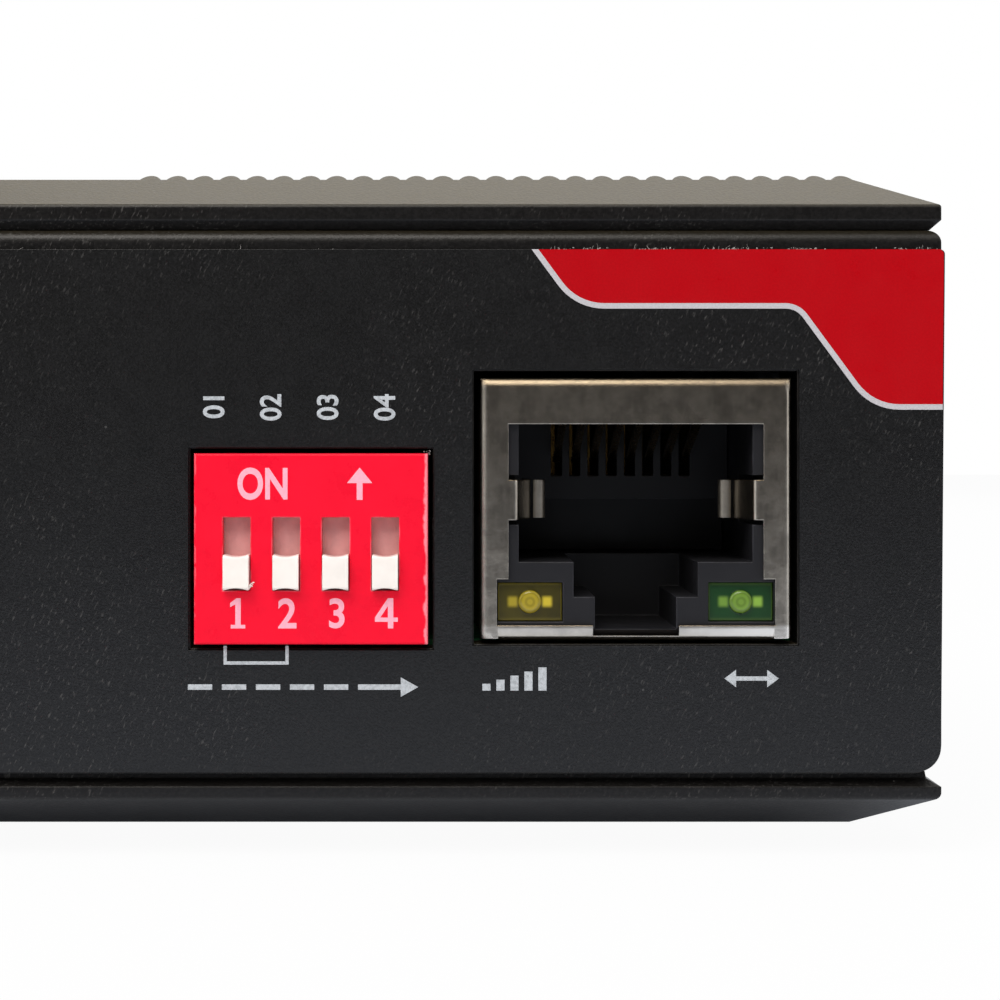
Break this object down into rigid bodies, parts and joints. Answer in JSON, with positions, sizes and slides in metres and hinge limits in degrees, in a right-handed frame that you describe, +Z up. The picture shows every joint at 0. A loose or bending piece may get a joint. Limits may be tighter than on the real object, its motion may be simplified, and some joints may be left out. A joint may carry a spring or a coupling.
{
  "type": "fibre media converter",
  "caption": "Low black desktop box with a ribbed bevelled lid; its front has a shielded network jack, a red slide-switch block, status lamps and a duplex fibre port.",
  "frame": {"origin": "centre of the case's footprint on the surface its feet stand on", "axes": "+X to the right seen from the port face, +Y from the port face to the back, +Z up"},
  "size_m": [0.1002, 0.0784, 0.0358],
  "materials": {
    "painted_shell": "matt black moulded housing with a fine grain",
    "overlay_film": "dark satin polyester film",
    "flash_ink": "red ink field",
    "line_ink": "pale grey ink line",
    "rubber": "soft black rubber",
    "screw_steel": "zinc plated steel",
    "board": "green solder mask",
    "shield_steel": "folded nickel plated sheet",
    "insert_plastic": "black moulded insert",
    "contact_metal": "gold plated contacts",
    "tinned_metal": "tinned leads",
    "lamp_yellow": "clear tinted lens",
    "lamp_green": "clear tinted lens",
    "status_lens": "clear round lens",
    "switch_red": "bright red moulded cover",
    "switch_white": "white moulded slider",
    "port_plastic": "dark blue moulded housing",
    "ceramic": "white zirconia sleeve",
    "can_steel": "turned metal can",
    "chip_black": "moulded chip package",
    "capacitor_sleeve": "printed plastic sleeve",
    "ferrite": "dark ferrite block",
    "part_ceramic": "small ceramic parts"
  },
  "bodies": {
    "case": {"top_cover": "painted_shell", "case_body": "painted_shell", "bottom_cover": "painted_shell", "case_screws": "screw_steel", "rubber_feet": "rubber", "front_overlay": "overlay_film", "overlay_red_field": "flash_ink", "overlay_grey_line": "line_ink", "jack_shield": "shield_steel", "jack_housing": "insert_plastic", "jack_contact_carrier": "insert_plastic", "jack_contacts": "contact_metal", "jack_lamp_yellow": "lamp_yellow", "jack_lamp_green": "lamp_green", "jack_lamp_leads": "tinned_metal", "dip_housing": "switch_red", "dip_base": "insert_plastic", "dip_pins": "tinned_metal", "optic_housing": "port_plastic", "optic_sleeves": "ceramic", "optic_latches": "port_plastic", "optic_cans": "can_steel", "optic_pins": "tinned_metal", "status_lamps": "status_lens", "status_lamp_holder": "insert_plastic", "status_lamp_leads": "tinned_metal", "inlet_body": "insert_plastic", "inlet_pin": "tinned_metal", "inlet_spring": "tinned_metal", "main_board": "board", "isolation_transformer": "chip_black", "transformer_leads": "tinned_metal", "converter_chip": "chip_black", "chip_leads": "tinned_metal", "voltage_regulator": "chip_black", "clock_crystal": "can_steel", "electrolytic_capacitors": "capacitor_sleeve", "power_inductor": "ferrite", "small_chip_parts": "part_ceramic"},
    "dip_slider_1": {"dip_slider_1": "switch_white"},
    "dip_slider_2": {"dip_slider_2": "switch_white"},
    "dip_slider_3": {"dip_slider_3": "switch_white"},
    "dip_slider_4": {"dip_slider_4": "switch_white"}
  },
  "joints": [
    {"name": "slide_1", "type": "slide", "parent": "case", "child": "dip_slider_1", "axis": [0, 0, 1], "range_m": [0, 0.00186]},
    {"name": "slide_2", "type": "slide", "parent": "case", "child": "dip_slider_2", "axis": [0, 0, 1], "range_m": [0, 0.00186]},
    {"name": "slide_3", "type": "slide", "parent": "case", "child": "dip_slider_3", "axis": [0, 0, 1], "range_m": [0, 0.00186]},
    {"name": "slide_4", "type": "slide", "parent": "case", "child": "dip_slider_4", "axis": [0, 0, 1], "range_m": [0, 0.00186]}
  ]
}
